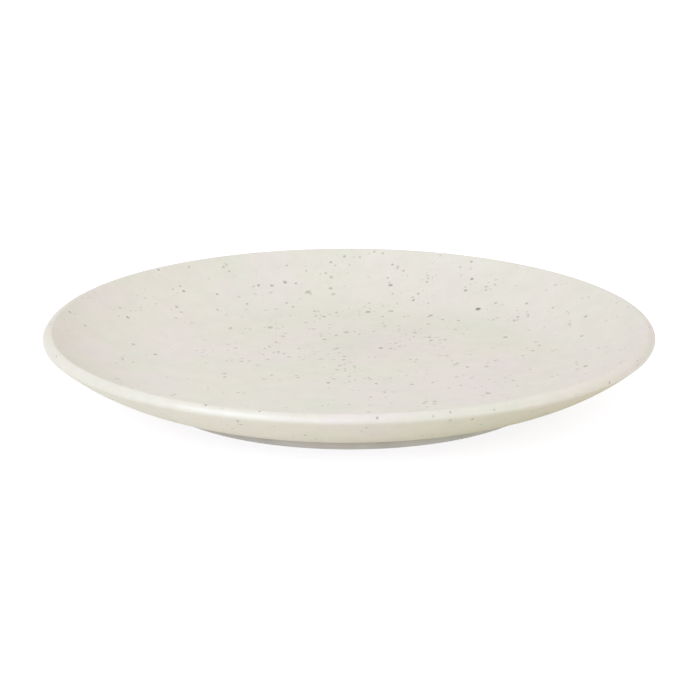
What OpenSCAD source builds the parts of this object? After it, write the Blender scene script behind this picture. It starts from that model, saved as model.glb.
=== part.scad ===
// Coupe dinner plate: a shallow stoneware dish with no flat rim. The face runs in one curve from
// the well to a rounded lip, the outer wall leaves a low foot ring, and glaze covers all but the foot.
// Millimetres, +Z up, origin on the table under the middle of the plate.

/* [Plate] */
// Diameter over the glazed lip
plate_d = 260; // [225:1:300]
// Height from the table to the top of the lip
plate_h = 28.5; // [23:0.5:38]
// Thickness of the glazed lip, which is fully rounded
lip_t = 5.8; // [4:0.1:8]

/* [Well] */
// Diameter at which the well turns up into the side
well_d = 158; // [120:1:176]
// How far the middle of the well lies below its edge
well_dip = 2; // [0.8:0.1:4]
// Thickness of the floor, glaze included
floor_t = 5.2; // [4:0.1:8]

/* [Foot] */
// Outside diameter of the foot ring
foot_d = 169; // [140:1:190]
// Width of the foot ring
foot_w = 6; // [4.5:0.1:9]
// Height from the table to where the outer wall meets the foot ring
foot_h = 5; // [3.5:0.1:6.5]
// Slope of the outer wall where it leaves the foot ring, in degrees
wall_slope = 6; // [2:0.5:14]
// Height of the hollow under the middle of the plate
recess_h = 2.6; // [1.6:0.1:4]
// Rounding of the foot ring's two lower edges
foot_edge = 1.2; // [0.6:0.1:1.5]
// Fillet in the corner between the foot ring and the floor above it
foot_fillet = 2; // [1:0.1:2.4]

/* [Glaze] */
// Thickness of the glaze
glaze_t = 0.5; // [0.3:0.05:0.9]
// Bare strip left on the wall between the foot ring and the edge of the glaze
wall_bare = 0.8; // [0.5:0.1:3]
// Height of the bare rim on the inside of the foot ring
rim_bare = 1.8; // [1.6:0.1:2.2]

/* [Hidden] */

// Steps of a full turn, and the most that a chord may leave its arc
turn_steps = 180;
chord_error = 0.006;

clay_colour = [0.72, 0.69, 0.64];
glaze_colour = [0.89, 0.87, 0.82];

// Points of the section are [distance from the axis, height]
function toward(angle) = [cos(angle), sin(angle)];
function bearing(from, to) = atan2(to[1] - from[1], to[0] - from[0]);
function flipped(points) = [for (i = [len(points) - 1 : -1 : 0]) points[i]];

// Arc about a centre from one angle up to another, without its last point
function arc(centre, radius, from, to) =
    let (step = 2 * acos(1 - chord_error / radius),
         count = max(2, ceil(abs(to - from) / step)))
    [for (i = [0 : count - 1]) centre + radius * toward(from + (to - from) * i / count)];

// Well: a shallow dish, with its centre of curvature high on the axis
well_edge = well_d / 2;
well_r = (well_edge * well_edge + well_dip * well_dip) / (2 * well_dip);
well_c = [0, recess_h + floor_t + well_r];
well_end = asin(well_edge / well_r) - 90;

// Lip: a half round whose outermost and topmost points give the plate its size
lip_r = lip_t / 2;
lip_c = [plate_d / 2 - lip_r, plate_h - lip_r];

// Side of the face: the one arc that leaves the well in its own direction and touches the lip
well_corner = well_c + well_r * toward(well_end);
from_lip = well_corner - lip_c;
side_r = (from_lip * from_lip - lip_r * lip_r) / (2 * (lip_r + from_lip * toward(well_end)));
side_c = well_corner - side_r * toward(well_end);
side_end = bearing(side_c, lip_c);

// Outer wall: the one arc that leaves the foot ring at its slope and touches the lip
foot_out = foot_d / 2;
wall_foot = [foot_out, foot_h];
wall_start = wall_slope - 90;
to_lip = wall_foot - lip_c;
wall_r = (to_lip * to_lip - lip_r * lip_r) / (2 * (to_lip * toward(wall_start) - lip_r));
wall_c = wall_foot - wall_r * toward(wall_start);
wall_end = bearing(wall_c, lip_c);

// Edge of the glaze on the wall, and the clay's own corner with the foot ring below it
glaze_edge = -acos((foot_out + wall_bare - wall_c[0]) / wall_r);
clay_wall_r = wall_r - glaze_t;
clay_wall_foot = -acos((foot_out - wall_c[0]) / clay_wall_r);

// Hollow under the floor: it follows the well, and a fillet leads it into the foot ring
foot_in = foot_out - foot_w;
recess_r = well_r + floor_t;
clay_recess_r = recess_r - glaze_t;
recess_corner_h = well_c[1] - sqrt(clay_recess_r * clay_recess_r - foot_in * foot_in);
fillet_r = min(foot_fillet, 0.9 * (recess_corner_h - rim_bare));
fillet_x = foot_in - fillet_r;
fillet_reach = clay_recess_r + fillet_r;
fillet_c = [fillet_x, well_c[1] - sqrt(fillet_reach * fillet_reach - fillet_x * fillet_x)];
recess_end = bearing(well_c, fillet_c);

// Foot ring's lower edges
edge_r = min(foot_edge, rim_bare - glaze_t / 2);
outer_edge_c = [foot_out - edge_r, edge_r];
inner_edge_c = [foot_in + edge_r, edge_r];

// Section line from the middle of the face over the lip to the glaze's edge, at a depth in the glaze
function coat_line(depth) = concat(
    arc(well_c, well_r + depth, -90, well_end),
    arc(side_c, side_r + depth, well_end, side_end),
    arc(lip_c, lip_r - depth, side_end + 180, wall_end),
    arc(wall_c, wall_r - depth, wall_end, glaze_edge),
    [wall_c + (wall_r - depth) * toward(glaze_edge)]
);

// Section line from the middle of the hollow under the plate to the bare rim, at a depth in the glaze
function recess_line(depth) = concat(
    arc(well_c, recess_r - depth, -90, recess_end),
    arc(fillet_c, fillet_r - glaze_t + depth, recess_end + 180, 0),
    [[foot_in - glaze_t + depth, fillet_c[1]], [foot_in - glaze_t + depth, rim_bare]]
);

// Section line of the bare clay, from the glaze's edge on the wall round the foot ring
function foot_line() = concat(
    arc(wall_c, clay_wall_r, glaze_edge, clay_wall_foot),
    [wall_c + clay_wall_r * toward(clay_wall_foot)],
    arc(outer_edge_c, edge_r, 0, -90),
    [[foot_out - edge_r, 0]],
    arc(inner_edge_c, edge_r, -90, -180),
    [[foot_in, edge_r]]
);

// A section turned once round the plate's axis
module turned(points) {
    rotate_extrude($fn = turn_steps) polygon(points);
}

// The clay: floor, side, lip and foot ring in one piece
module stoneware_body() {
    color(clay_colour) turned(concat(
        coat_line(glaze_t),
        foot_line(),
        flipped(recess_line(glaze_t))
    ));
}

// Glaze on the face, the lip and the outer wall, with a rounded edge above the foot ring
module glaze_coat() {
    round_c = wall_c + (wall_r - glaze_t / 2) * toward(glaze_edge);
    color(glaze_colour) turned(concat(
        coat_line(0),
        arc(round_c, glaze_t / 2, glaze_edge, glaze_edge - 180),
        flipped(coat_line(glaze_t))
    ));
}

// Glaze inside the foot ring, with a rounded edge above the bare rim
module foot_well_glaze() {
    round_c = [foot_in - glaze_t / 2, rim_bare];
    color(glaze_colour) turned(concat(
        recess_line(0),
        arc(round_c, glaze_t / 2, -180, 0),
        flipped(recess_line(glaze_t))
    ));
}

stoneware_body();
glaze_coat();
foot_well_glaze();
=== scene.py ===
# Coupe dinner plate in speckled stoneware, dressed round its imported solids
import math

import bpy
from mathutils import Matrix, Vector


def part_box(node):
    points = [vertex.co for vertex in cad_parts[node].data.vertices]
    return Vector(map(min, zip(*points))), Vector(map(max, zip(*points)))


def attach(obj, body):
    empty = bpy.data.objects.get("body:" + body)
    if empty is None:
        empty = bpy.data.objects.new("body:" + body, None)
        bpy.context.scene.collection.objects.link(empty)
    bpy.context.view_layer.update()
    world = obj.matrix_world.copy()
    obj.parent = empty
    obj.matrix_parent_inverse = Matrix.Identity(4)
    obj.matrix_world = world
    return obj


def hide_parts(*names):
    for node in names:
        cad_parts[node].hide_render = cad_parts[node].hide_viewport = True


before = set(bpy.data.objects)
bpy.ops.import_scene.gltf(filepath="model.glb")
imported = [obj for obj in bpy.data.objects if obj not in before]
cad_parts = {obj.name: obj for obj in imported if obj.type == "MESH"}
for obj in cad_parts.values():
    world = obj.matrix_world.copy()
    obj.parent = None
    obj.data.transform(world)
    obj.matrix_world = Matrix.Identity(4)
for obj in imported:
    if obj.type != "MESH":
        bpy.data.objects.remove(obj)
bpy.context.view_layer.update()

# Clay body: floor, side, lip and foot ring are one lump of grey stoneware, thrown on a wheel and
# turned at the foot when leather hard. Only the foot is left bare, so that the plate doesn't stick
# to the kiln shelf, and the glazes lie on all the rest.
mm = 0.001
coat_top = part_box("glaze_coat")[1]
clay_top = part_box("stoneware_body")[1]
plate_r = coat_top.x
plate_h = coat_top.z
glaze_t = coat_top.z - clay_top.z
foot_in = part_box("foot_well_glaze")[1].x
foot_w = 6 * mm
foot_out = foot_in + foot_w
foot_h = 5 * mm
foot_edge_r = 1.2 * mm
wall_slope = 6
wall_bare = 0.8 * mm
rim_bare = 1.8 * mm
lip_top_r = 1.3 * mm
bevel_r = 5.0 * mm
corner_r = 1.4 * mm
bevel_start = 72
bevel_end = 30
well_edge = 79 * mm
well_dip = 2 * mm
floor_t = 5.2 * mm
recess_h = 2.6 * mm
fillet_r = 2 * mm


def toward(angle):
    """Unit direction in the plate's section, where x is the distance from the axis and y the height."""
    return Vector((math.cos(math.radians(angle)), math.sin(math.radians(angle))))


def bearing(start, end):
    """Angle from one point of the section to another, in degrees."""
    return math.degrees(math.atan2(end.y - start.y, end.x - start.x))


# Section of the finished surface: arcs that touch each other for the well, the side, the lip's narrow top,
# the flattened bevel on which it was sponged, its outer corner and the outer wall
well_r = (well_edge**2 + well_dip**2) / (2 * well_dip)
well_c = Vector((0, recess_h + floor_t + well_r))
well_end = math.degrees(math.asin(well_edge / well_r)) - 90
well_corner = well_c + well_r * toward(well_end)
top_to_bevel = (lip_top_r - bevel_r) * toward(bevel_start)
bevel_to_corner = (bevel_r - corner_r) * toward(bevel_end)
lip_top_x = plate_r - corner_r - top_to_bevel.x - bevel_to_corner.x
lip_top_c = Vector((lip_top_x, plate_h - lip_top_r))
bevel_c = lip_top_c + top_to_bevel
corner_c = bevel_c + bevel_to_corner
from_lip = well_corner - lip_top_c
side_r = (from_lip.length_squared - lip_top_r**2) / (2 * (lip_top_r + from_lip.dot(toward(well_end))))
side_c = well_corner - side_r * toward(well_end)
side_end = bearing(side_c, lip_top_c)
wall_foot = Vector((foot_out, foot_h))
to_corner = wall_foot - corner_c
wall_start = wall_slope - 90
wall_r = (to_corner.length_squared - corner_r**2) / (2 * (to_corner.dot(toward(wall_start)) - corner_r))
wall_c = wall_foot - wall_r * toward(wall_start)
wall_end = bearing(wall_c, corner_c)
glaze_edge = -math.degrees(math.acos((foot_out + wall_bare - wall_c.x) / wall_r))
clay_wall_foot = -math.degrees(math.acos((foot_out - wall_c.x) / (wall_r - glaze_t)))

# Section of the hollow inside the foot: it follows the well, and a fillet leads it into the foot
clay_recess_r = well_r + floor_t - glaze_t
fillet_x = foot_in - fillet_r
fillet_c = Vector((fillet_x, well_c.y - math.sqrt((clay_recess_r + fillet_r) ** 2 - fillet_x**2)))
recess_end = bearing(well_c, fillet_c)

# How many times closer the points lie on the small arcs than on the wide ones
closer_on_lip = 8
closer_on_bevel = 5
closer_on_fillet = 5


def arc(centre, radius, start, end, spacing):
    """Points on an arc, each with the direction that the surface faces there."""
    count = max(2, math.ceil(math.radians(abs(end - start)) * radius / spacing))
    facing = -1 if end > start else 1
    angles = [start + (end - start) * i / count for i in range(count + 1)]
    return [(centre + radius * toward(a), facing * toward(a)) for a in angles]


def face_line(depth, spacing):
    """From the middle of the face to the widest circle of the lip, at a depth in the glaze."""
    well = arc(well_c, well_r + depth, -90, well_end, spacing)
    side = arc(side_c, side_r + depth, well_end, side_end, spacing)
    top = arc(lip_top_c, lip_top_r - depth, side_end + 180, bevel_start, spacing / closer_on_lip)
    bevel = arc(bevel_c, bevel_r - depth, bevel_start, bevel_end, spacing / closer_on_bevel)
    corner = arc(corner_c, corner_r - depth, bevel_end, 0, spacing / closer_on_lip)
    return well + side[1:] + top[1:] + bevel[1:] + corner[1:]


def wall_line(depth, spacing):
    """From the widest circle of the lip down the outer wall to the edge of the glaze."""
    corner = arc(corner_c, corner_r - depth, 0, wall_end, spacing / closer_on_lip)
    wall = arc(wall_c, wall_r - depth, wall_end, glaze_edge, spacing)
    return corner + wall[1:]


def recess_line(depth, spacing):
    """From the bare rim inside the foot, over the fillet, to the middle of the hollow."""
    start = (Vector((foot_in - glaze_t + depth, rim_bare)), Vector((-1, 0)))
    fillet = arc(fillet_c, fillet_r - glaze_t + depth, 0, recess_end + 180, spacing / closer_on_fillet)
    roof = arc(well_c, well_r + floor_t - depth, recess_end, -90, spacing)
    return [start] + fillet + roof[1:]


def foot_line(spacing):
    """The bare clay, from the edge of the glaze on the wall round the foot to the rim inside it."""
    wall = arc(wall_c, wall_r - glaze_t, glaze_edge, clay_wall_foot, spacing)
    outside = arc(Vector((foot_out - foot_edge_r, foot_edge_r)), foot_edge_r, 0, -90, spacing)
    inside = arc(Vector((foot_in + foot_edge_r, foot_edge_r)), foot_edge_r, -90, -180, spacing)
    end = (Vector((foot_in, rim_bare)), Vector((-1, 0)))
    return wall + outside + inside + [end]


# Warp from drying and firing: the rim rises and falls twice round the plate, with a small ripple on it,
# and is a little oval. The phases are in radians, and the foot stays flat.
saddle_rise = 0.33 * mm
saddle_phase = 0.72
ripple_rise = 0.07 * mm
ripple_phase = 1.3
oval_swing = 0.10 * mm
oval_phase = 0.4
warp_power = 1.5


def settled(point, turn):
    """Place of a section point on the warped plate, at a turn round its axis."""
    share = min(1, max(0, (point.x - foot_out) / (plate_r - foot_out))) ** warp_power
    saddle = -saddle_rise * math.sin(2 * turn + saddle_phase)
    ripple = ripple_rise * math.sin(5 * turn + ripple_phase)
    oval = oval_swing * math.cos(2 * turn + oval_phase)
    radius = point.x + share * oval
    return (radius * math.cos(turn), radius * math.sin(turn), point.y + share * (saddle + ripple))


# Steps round the plate, the distance at which points count as one, and round places on a piece's colour
# map, each as its middle and its reach: what shows fills the map, and what is covered takes its corners
around = 360
touching = 0.001 * mm
whole_map = ((0.5, 0.5), 0.49)
hidden_map = ((0.08, 0.08), 0.07)
second_hidden_map = ((0.92, 0.08), 0.07)


def turned(name, stretches):
    """A closed mesh turned from stretches of section line, each with its round place on the colour map."""
    rings = []
    bands = []
    for line, (middle, reach) in stretches:
        along = [line[0][0].x]
        way = 1 if line[-1][0].x > line[0][0].x else -1
        for here, there in zip(line, line[1:]):
            along.append(along[-1] + way * (there[0] - here[0]).length)
        scale = reach / max(along)
        if not rings:
            rings.append(line[0])
        for i in range(1, len(line)):
            rings.append(line[i])
            bands.append((len(rings) - 2, len(rings) - 1, middle, along[i - 1] * scale, along[i] * scale))
    if (rings[0][0] - rings[-1][0]).length < touching:
        rings.pop()
    turns = [2 * math.pi * i / around for i in range(around)]
    places = []
    normals = []
    ring_vertices = []
    for point, facing in rings:
        first = len(places)
        count = 1 if point.x < touching else around
        ring_vertices.append([first + i % count for i in range(around + 1)])
        for turn in turns[:count]:
            places.append(settled(point, turn))
            normals.append((facing.x * math.cos(turn), facing.x * math.sin(turn), facing.y))
    faces = []
    map_places = []
    for low, high, (u, v), low_reach, high_reach in bands:
        inner = ring_vertices[low % len(rings)]
        outer = ring_vertices[high % len(rings)]
        for i in range(around):
            corners = [(inner[i], i, low_reach), (outer[i], i, high_reach),
                       (outer[i + 1], i + 1, high_reach), (inner[i + 1], i + 1, low_reach)]
            corners = [c for k, c in enumerate(corners) if c[0] != corners[k - 1][0]]
            faces.append([c[0] for c in corners])
            for _, step, reach in corners:
                turn = 2 * math.pi * step / around
                map_places.append((u + reach * math.cos(turn), v + reach * math.sin(turn)))
    mesh = bpy.data.meshes.new(name)
    mesh.from_pydata(places, [], faces)
    layer = mesh.uv_layers.new(name="OFBake")
    layer.uv.foreach_set("vector", [x for spot in map_places for x in spot])
    mesh.shade_smooth()
    mesh.normals_split_custom_set_from_vertices(normals)
    piece = bpy.data.objects.new(name, mesh)
    bpy.context.scene.collection.objects.link(piece)
    return piece


def feed(tree, socket, value):
    """Sets a socket, or links another node's output to it."""
    if isinstance(value, bpy.types.NodeSocket):
        tree.links.new(value, socket)
    else:
        socket.default_value = value


def put(tree, kind, settings=(), **values):
    """Adds a shader node with its settings, and feeds its named sockets."""
    made = tree.nodes.new("ShaderNode" + kind)
    for name, value in dict(settings).items():
        setattr(made, name, value)
    for name, value in values.items():
        feed(tree, made.inputs[name.replace("_", " ")], value)
    return made


def calc(tree, operation, *terms):
    """Output of a Math node."""
    made = put(tree, "Math", {"operation": operation})
    for socket, term in zip(made.inputs, terms):
        feed(tree, socket, term)
    return made.outputs["Value"]


def calc_vector(tree, operation, *terms):
    """Output of a Vector Math node: a number for a length or a distance, and otherwise a vector."""
    made = put(tree, "VectorMath", {"operation": operation})
    for socket, term in zip(made.inputs, terms):
        feed(tree, socket, term)
    return made.outputs["Value" if operation in ("LENGTH", "DISTANCE") else "Vector"]


def ramp(tree, value, low, high, at_low=0.0, at_high=1.0):
    """Smooth step from one value to another."""
    made = put(tree, "MapRange", {"interpolation_type": "SMOOTHSTEP"}, Value=value, From_Min=low,
               From_Max=high, To_Min=at_low, To_Max=at_high)
    return made.outputs["Result"]


def blend(tree, share, first, second):
    """Colour that goes from the first to the second as share goes from 0 to 1."""
    made = put(tree, "Mix", {"data_type": "RGBA"})
    feed(tree, made.inputs[0], share)
    feed(tree, made.inputs[6], first)
    feed(tree, made.inputs[7], second)
    return made.outputs[2]


def noise(tree, place, scale, detail=2.0, rough=0.5):
    """Soft noise between 0 and 1, with a scale in patches per metre."""
    return put(tree, "TexNoise", Vector=place, Scale=scale, Detail=detail, Roughness=rough).outputs["Fac"]


def from_axis(tree, place):
    """Distance of a place from the plate's axis."""
    return calc_vector(tree, "LENGTH", calc_vector(tree, "MULTIPLY", place, (1, 1, 0)))


def group(name, takes, gives):
    """A node group with nothing in it yet but its inputs, with their usual values, and its outputs."""
    tree = bpy.data.node_groups.new(name, "ShaderNodeTree")
    for socket, value in takes.items():
        made = tree.interface.new_socket(socket, in_out="INPUT", socket_type="NodeSocketFloat")
        made.default_value = value
    for socket in gives:
        tree.interface.new_socket(socket, in_out="OUTPUT", socket_type="NodeSocketFloat")
    return tree, tree.nodes.new("NodeGroupInput").outputs, tree.nodes.new("NodeGroupOutput").inputs


def use(tree, shared, **values):
    """Outputs of a node group that is placed in a material and fed."""
    return put(tree, "Group", {"node_tree": shared}, **values).outputs


def surface(name):
    """A new material with its tree and its Principled shader."""
    made = bpy.data.materials.new(name)
    made.use_nodes = True
    return made, made.node_tree, made.node_tree.nodes["Principled BSDF"]


# Specks are ragged grains on a random lattice: each cell has one, or none, of its own size and darkness.
# They gather in small clusters, and lie thickest behind the middle of the plate.
raggedness = 0.75
clusters_per_metre = 80.0
cluster_shift = (0.5, 0.13, 0.0)
cluster_low = 0.45
cluster_high = 0.66
least_crowd = 0.12
most_crowd = 1.6
thickest = (4 * mm, 62 * mm, 10 * mm)
thinning_from = -40 * mm
thinning_to = 150 * mm
least_size = 0.6
size_spread = 0.7
least_strength = 0.35
strength_spread = 0.65
dark_core = 0.25
specks_group, takes, gives = group(
    "specks",
    {
        "Spacing": 5 * mm,
        "Radius": 0.5 * mm,
        "Share in the middle": 0.5,
        "Share at the rim": 0.5,
        "Shift": 0.0,
    },
    ["Mask"],
)
tree = specks_group
place = put(tree, "TexCoord").outputs["Object"]
fray_scale = calc(tree, "DIVIDE", 1.0, takes["Radius"])
fray = put(tree, "TexNoise", Vector=place, Scale=fray_scale, Detail=1.0).outputs["Color"]
fray = calc_vector(tree, "SUBTRACT", fray, (0.5, 0.5, 0.5))
fray_reach = calc(tree, "MULTIPLY", takes["Radius"], raggedness)
fray = put(tree, "VectorMath", {"operation": "SCALE"}, Vector=fray, Scale=fray_reach).outputs["Vector"]
moved = calc_vector(tree, "ADD", calc_vector(tree, "ADD", place, fray), takes["Shift"])
cells = put(tree, "TexVoronoi", Vector=moved, Scale=calc(tree, "DIVIDE", 1.0, takes["Spacing"]))
draw = put(tree, "SeparateColor", Color=cells.outputs["Color"]).outputs
grain = calc_vector(tree, "SUBTRACT", cells.outputs["Position"], takes["Shift"])
clusters = noise(tree, calc_vector(tree, "ADD", grain, cluster_shift), clusters_per_metre)
crowd = ramp(tree, clusters, cluster_low, cluster_high, least_crowd, most_crowd)
away = calc_vector(tree, "DISTANCE", grain, thickest)
share = ramp(tree, away, thinning_from, thinning_to, takes["Share in the middle"], takes["Share at the rim"])
there = calc(tree, "LESS_THAN", draw[0], calc(tree, "MULTIPLY", share, crowd))
size = calc(tree, "MULTIPLY", takes["Radius"], calc(tree, "MULTIPLY_ADD", draw[1], size_spread, least_size))
size = calc(tree, "DIVIDE", size, takes["Spacing"])
spot = ramp(tree, cells.outputs["Distance"], calc(tree, "MULTIPLY", size, dark_core), size, 1.0, 0.0)
strong = calc(tree, "MULTIPLY_ADD", draw[2], strength_spread, least_strength)
feed(tree, gives["Mask"], calc(tree, "MULTIPLY", calc(tree, "MULTIPLY", spot, there), strong))

# Bare stoneware: grey and matt, with pale and dark grit in it and the fine rings of the turning tool. It
# darkens toward the top of the foot below the edge of the glaze: painted shade under the overhang of the
# wall, and a fume stain.
clay_grey = (0.735, 0.72, 0.72, 1)
clay_dark = (0.63, 0.615, 0.61, 1)
fumed_and_shaded_clay = (0.50, 0.465, 0.41, 1)
grit_pale = (0.79, 0.775, 0.75, 1)
grit_dark = (0.27, 0.24, 0.205, 1)
patches_per_metre = 55
rings_per_metre = 1600
ring_shade = 0.4
shade_band_low = 1.2 * mm
shade_band_high = 3.4 * mm
least_fume_and_shade = 0.35
most_fume_and_shade = 0.6
pale_grit_share = 0.6
dark_grit_share = 0.9
grains_per_metre = 900
grit_rise = 0.5
clay_relief = 0.06 * mm
clay, tree, shader = surface("bare_stoneware")
place = put(tree, "TexCoord").outputs["Object"]
patches = ramp(tree, noise(tree, place, patches_per_metre, 3.0), 0.35, 0.7)
colour = blend(tree, patches, clay_grey, clay_dark)
height = put(tree, "SeparateXYZ", Vector=place).outputs["Z"]
section_place = put(tree, "CombineXYZ", X=from_axis(tree, place), Y=height).outputs["Vector"]
rings = noise(tree, section_place, rings_per_metre)
colour = blend(tree, ramp(tree, rings, 0.4, 0.7, 0.0, ring_shade), colour, clay_dark)
# Darker toward the top of the foot: painted shade under the overhang of the wall, together with the fume
# stain
fumes_and_shade = ramp(tree, patches, 0.0, 1.0, least_fume_and_shade, most_fume_and_shade)
stain_and_painted_shade = calc(tree, "MULTIPLY", ramp(tree, height, shade_band_low, shade_band_high), fumes_and_shade)
colour = blend(tree, stain_and_painted_shade, colour, fumed_and_shaded_clay)
pale = use(tree, specks_group, Spacing=0.9 * mm, Radius=0.2 * mm,
           Share_in_the_middle=0.5, Share_at_the_rim=0.5)["Mask"]
dark = use(tree, specks_group, Spacing=2.2 * mm, Radius=0.3 * mm,
           Share_in_the_middle=0.4, Share_at_the_rim=0.4, Shift=0.37)["Mask"]
colour = blend(tree, calc(tree, "MULTIPLY", pale, pale_grit_share), colour, grit_pale)
colour = blend(tree, calc(tree, "MULTIPLY", dark, dark_grit_share), colour, grit_dark)
feed(tree, shader.inputs["Base Color"], colour)
shader.inputs["Roughness"].default_value = 0.85
relief = calc(tree, "MULTIPLY_ADD", pale, grit_rise, noise(tree, place, grains_per_metre, 3.0))
relief = calc(tree, "ADD", relief, rings)
bump = put(tree, "Bump", Strength=0.6, Distance=clay_relief, Height=relief)
feed(tree, shader.inputs["Normal"], bump.outputs["Normal"])

hidden_spacing = 4 * mm
foot_spacing = 0.25 * mm
under_coat = face_line(glaze_t, hidden_spacing) + wall_line(glaze_t, hidden_spacing)[1:]
clay_body = turned("clay_body", [
    (under_coat, hidden_map),
    (foot_line(foot_spacing), whole_map),
    (recess_line(glaze_t, hidden_spacing), second_hidden_map),
])
clay_body.data.materials.append(clay)
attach(clay_body, "root")
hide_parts("stoneware_body")

# Glaze on the face: a satin cream coat of about half a millimetre, poured over the face and the lip
# and fired on, with iron grains of the clay and glaze showing as brown specks. It is made down to the
# widest circle of the lip, where the glaze of the wall goes on with the same surface.
cream = (0.755, 0.702, 0.588, 1)
rosy_cream = (0.775, 0.685, 0.622, 1)
green_cream = (0.727, 0.702, 0.575, 1)
thin_glaze = (0.47, 0.42, 0.34, 1)
iron_brown = (0.13, 0.107, 0.062, 1)

# Glaze clouds: where the coat is thicker or thinner, its cream turns a little warmer or greener
cloud_detail = 6.0
cloud_rough = 0.62
cloud_low = 0.42
cloud_high = 0.72
second_clouds = (0.7, 0.2, 0.4)
fine_clouds = 5.0
clouds_group, takes, gives = group("glaze_clouds", {"Size": 40 * mm}, ["Rosy", "Green", "Fine"])
tree = clouds_group
place = put(tree, "TexCoord").outputs["Object"]
other_place = calc_vector(tree, "ADD", place, second_clouds)
scale = calc(tree, "DIVIDE", 1.0, takes["Size"])
fine_scale = calc(tree, "MULTIPLY", scale, fine_clouds)
rosy = noise(tree, place, scale, cloud_detail, cloud_rough)
green = noise(tree, other_place, scale, cloud_detail, cloud_rough)
fine = noise(tree, other_place, fine_scale, 5.0, 0.65)
feed(tree, gives["Rosy"], ramp(tree, rosy, cloud_low, cloud_high))
feed(tree, gives["Green"], ramp(tree, green, cloud_low, cloud_high))
feed(tree, gives["Fine"], ramp(tree, fine, 0.3, 0.7))

# Glaze skin: the slow waves and fine grain of a surface that has flowed and set
grain_share = 0.12
gloss_per_metre = 45.0
skin_group, takes, gives = group("glaze_skin", {"Wave": 5 * mm, "Grain": 0.7 * mm}, ["Height", "Gloss"])
tree = skin_group
place = put(tree, "TexCoord").outputs["Object"]
wave = noise(tree, place, calc(tree, "DIVIDE", 1.0, takes["Wave"]), 1.0)
grain = noise(tree, place, calc(tree, "DIVIDE", 1.0, takes["Grain"]), 1.0)
feed(tree, gives["Height"], calc(tree, "MULTIPLY_ADD", grain, grain_share, wave))
feed(tree, gives["Gloss"], ramp(tree, noise(tree, place, gloss_per_metre), 0.3, 0.7))

# Four sizes of iron speck: spacing, radius, share of the cells that hold one, strength and shift
iron_specks = (
    (1.4 * mm, 0.5 * mm, 0.36, 0.24, 0.57),
    (2.2 * mm, 0.92 * mm, 0.36, 0.60, 0.11),
    (3.4 * mm, 1.20 * mm, 0.33, 0.75, 0.23),
    (5.5 * mm, 1.42 * mm, 0.34, 0.82, 0.41),
)

# Where the coat is thin and the clay shows through: toward the foot and in the fine clouds. The colour
# also darkens toward the same brown in a patch behind the middle
foot_fade_from = 98 * mm
foot_fade_to = 116 * mm
patch_place = (10 * mm, 40 * mm, 8 * mm)
patch_core = 5 * mm
patch_reach = 42 * mm
fine_cloud_share = 0.11

# How much the gloss varies, how much drier a speck is than the coat, and how deep the skin's relief goes
gloss_spread = 0.08
speck_dryness = 0.2
skin_relief = 0.03 * mm


def speckled_glaze(name, middle, rim, softness, foot_fade=0.0, darker_patch=0.0):
    """A cream glaze with its clouds, specks and skin, which thins toward the foot and darkens in the patch.
    """
    made, tree, shader = surface(name)
    clouds = use(tree, clouds_group)
    colour = blend(tree, clouds["Rosy"], cream, rosy_cream)
    colour = blend(tree, clouds["Green"], colour, green_cream)
    place = put(tree, "TexCoord").outputs["Object"]
    thinning_and_patch = ramp(tree, from_axis(tree, place), foot_fade_from, foot_fade_to, foot_fade, 0.0)
    away = calc_vector(tree, "DISTANCE", place, patch_place)
    thinning_and_patch = calc(tree, "ADD", thinning_and_patch, ramp(tree, away, patch_core, patch_reach, darker_patch, 0.0))
    thinning_and_patch = calc(tree, "MULTIPLY_ADD", clouds["Fine"], fine_cloud_share, thinning_and_patch)
    colour = blend(tree, thinning_and_patch, colour, thin_glaze)
    mask = None
    for spacing, radius, amount, strength, offset in iron_specks:
        specks = use(tree, specks_group, Spacing=spacing, Radius=radius, Share_in_the_middle=amount * middle,
                     Share_at_the_rim=amount * rim, Shift=offset)
        layer = calc(tree, "MULTIPLY", specks["Mask"], strength)
        mask = layer if mask is None else calc(tree, "MAXIMUM", mask, layer)
    feed(tree, shader.inputs["Base Color"], blend(tree, mask, colour, iron_brown))
    skin = use(tree, skin_group)
    rough = calc(tree, "MULTIPLY_ADD", skin["Gloss"], gloss_spread, softness)
    feed(tree, shader.inputs["Roughness"], calc(tree, "MULTIPLY_ADD", mask, speck_dryness, rough))
    bump = put(tree, "Bump", Strength=1.0, Distance=skin_relief, Height=skin["Height"])
    feed(tree, shader.inputs["Normal"], bump.outputs["Normal"])
    return made


face_spacing = 1.1 * mm
face_shown = face_line(0, face_spacing)
face_inside = list(reversed(face_line(glaze_t, hidden_spacing)))
face_glaze = turned("face_glaze", [
    (face_shown, whole_map),
    ([face_shown[-1]] + face_inside, hidden_map),
])
face_glaze.data.materials.append(
    speckled_glaze("cream_glaze_face", middle=1.0, rim=0.2, softness=0.28, darker_patch=0.07))
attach(face_glaze, "root")
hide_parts("glaze_coat")

# Glaze on the wall: the same coat, which runs on from the lip down the outer wall and ends above the
# foot in a rounded edge, where the maker wiped it back.
roll_spacing = 0.05 * mm
edge_middle = wall_c + (wall_r - glaze_t / 2) * toward(glaze_edge)
edge_roll = arc(edge_middle, glaze_t / 2, glaze_edge, glaze_edge - 180, roll_spacing)
wall_inside = list(reversed(wall_line(glaze_t, hidden_spacing)))
wall_shown = wall_line(0, face_spacing)
wall_glaze = turned("wall_glaze", [
    (wall_shown + edge_roll[1:], whole_map),
    ([edge_roll[-1]] + wall_inside[1:] + [wall_shown[0]], hidden_map),
])
wall_glaze.data.materials.append(
    speckled_glaze("cream_glaze_wall", middle=0.5, rim=0.3, softness=0.34, foot_fade=0.06))
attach(wall_glaze, "root")
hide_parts("glaze_coat")

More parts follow.
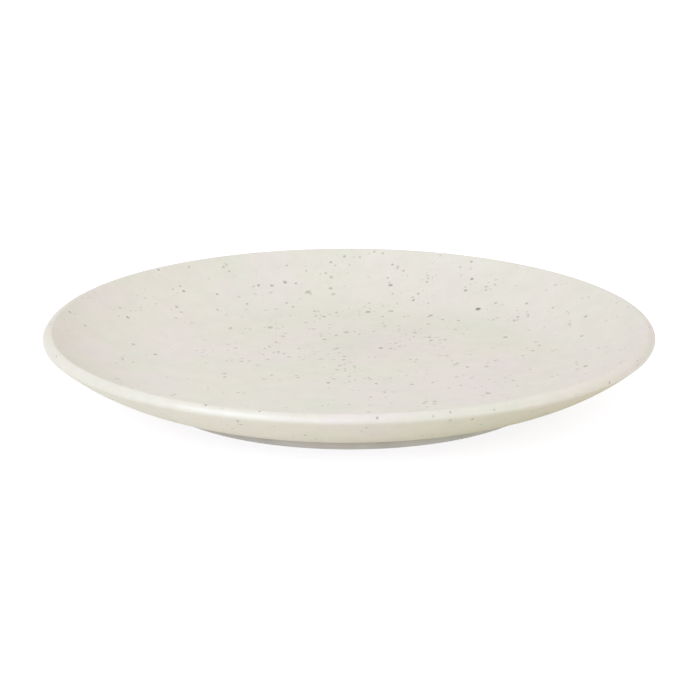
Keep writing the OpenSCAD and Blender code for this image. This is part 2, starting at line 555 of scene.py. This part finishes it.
# Glaze inside the foot: the same cream glaze in the shallow hollow under the plate, parted from the
# coat outside by the bare rim of the foot. It ends inside the foot in a rounded edge too.
rim_middle = Vector((foot_in - glaze_t / 2, rim_bare))
rim_roll = arc(rim_middle, glaze_t / 2, 0, -180, roll_spacing)
roof_inside = list(reversed(recess_line(glaze_t, hidden_spacing)))
roof_shown = recess_line(0, face_spacing)
foot_well_glaze = turned("foot_well_coat", [
    (roof_inside, hidden_map),
    (rim_roll + roof_shown[1:], whole_map),
])
foot_well_glaze.data.materials.append(
    speckled_glaze("cream_glaze_foot_well", middle=0.7, rim=0.7, softness=0.36))
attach(foot_well_glaze, "root")
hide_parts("foot_well_glaze")

# Floor: a plain white table lit from below, as for product pictures, so that it throws light up on the
# outer wall and the shadows stay pale. Its glow is weaker and yellower in a strip under the right of the
# plate, a painted shadow of the plate in the light from the left, and is so wide that its edge stays out of
# the photograph's view.
floor_reach = 6.0
floor_white = (0.5, 0.5, 0.5, 1)
seen_glow = (0.72, 0.723, 0.765, 1)
thrown_glow = (0.459, 0.459, 0.434, 1)
# Glow of the painted shadow under the right of the plate
painted_shadow_glow = (0.275, 0.27, 0.163, 1)
strip_start = -40 * mm
strip_full = 120 * mm
strip_fade = 100 * mm
strip_end = 170 * mm
floor_mesh = bpy.data.meshes.new("floor")
corners = [(-floor_reach, -floor_reach, 0), (floor_reach, -floor_reach, 0),
           (floor_reach, floor_reach, 0), (-floor_reach, floor_reach, 0)]
floor_mesh.from_pydata(corners, [], [(0, 1, 2, 3)])
floor = bpy.data.objects.new("floor", floor_mesh)
bpy.context.scene.collection.objects.link(floor)
table, tree, shader = surface("white_table")
shader.inputs["Base Color"].default_value = floor_white
shader.inputs["Roughness"].default_value = 0.9
shader.inputs["Specular IOR Level"].default_value = 0.0
place = put(tree, "TexCoord").outputs["Object"]
right = put(tree, "SeparateXYZ", Vector=place).outputs["X"]
# Painted shadow: the glow drops in a strip under the plate's right side, where the plate shades the table
# from the left
painted_shadow_strip = calc(tree, "MULTIPLY", ramp(tree, right, strip_start, strip_full),
             ramp(tree, right, strip_fade, strip_end, 1.0, 0.0))
thrown = blend(tree, painted_shadow_strip, thrown_glow, painted_shadow_glow)
seen = put(tree, "LightPath").outputs["Is Camera Ray"]
feed(tree, shader.inputs["Emission Color"], blend(tree, seen, thrown, seen_glow))
shader.inputs["Emission Strength"].default_value = 1.0
floor_mesh.materials.append(table)

# Light: a warm white room all round, two large cool softboxes high in front of the plate and to its left,
# and a weak low one on the right. All three look at the plate.
room_white = (1.0, 0.968, 0.92, 1)
room_strength = 0.695
room = bpy.data.worlds.new("white_room")
room.use_nodes = True
room.node_tree.nodes["Background"].inputs["Color"].default_value = room_white
room.node_tree.nodes["Background"].inputs["Strength"].default_value = room_strength
bpy.context.scene.world = room


def softbox(name, place, size, power, colour):
    """A square area light that looks at the origin, under the middle of the plate."""
    lamp = bpy.data.lights.new(name, "AREA")
    lamp.size = size
    lamp.color = colour
    lamp.energy = power
    made = bpy.data.objects.new(name, lamp)
    made.location = place
    made.rotation_euler = (-Vector(place)).to_track_quat("-Z", "Y").to_euler()
    bpy.context.scene.collection.objects.link(made)


softbox("front_softbox", place=(-0.68, -0.92, 1.2), size=1.3, power=10.6, colour=(0.58, 0.69, 1.0))
softbox("left_softbox", place=(-0.85, -0.45, 1.4), size=0.8, power=8.9, colour=(0.74, 0.87, 1.0))
softbox("fill_softbox", place=(1.25, -0.7, 0.5), size=0.8, power=3.9, colour=(0.80, 0.89, 1.0))

# Camera: a long lens from a metre and a half away, at the photograph's viewing angle. It looks a little
# above the middle of the plate, which puts the plate where the photograph has it.
camera_distance = 1.5
camera_rise = math.radians(16.61)
plate_middle = Vector((0, 0, 13 * mm))
aim_at = Vector((0.4 * mm, 0, 17.4 * mm))
lens = bpy.data.cameras.new("camera")
lens.sensor_width = 36
lens.lens = 180.7
lens.clip_start = 0.05
lens.clip_end = 50
camera = bpy.data.objects.new("camera", lens)
camera.location = plate_middle + camera_distance * Vector((0, -math.cos(camera_rise), math.sin(camera_rise)))
camera.rotation_euler = (aim_at - camera.location).to_track_quat("-Z", "Y").to_euler()
bpy.context.scene.collection.objects.link(camera)
bpy.context.scene.camera = camera
bpy.context.scene.view_settings.view_transform = "Standard"
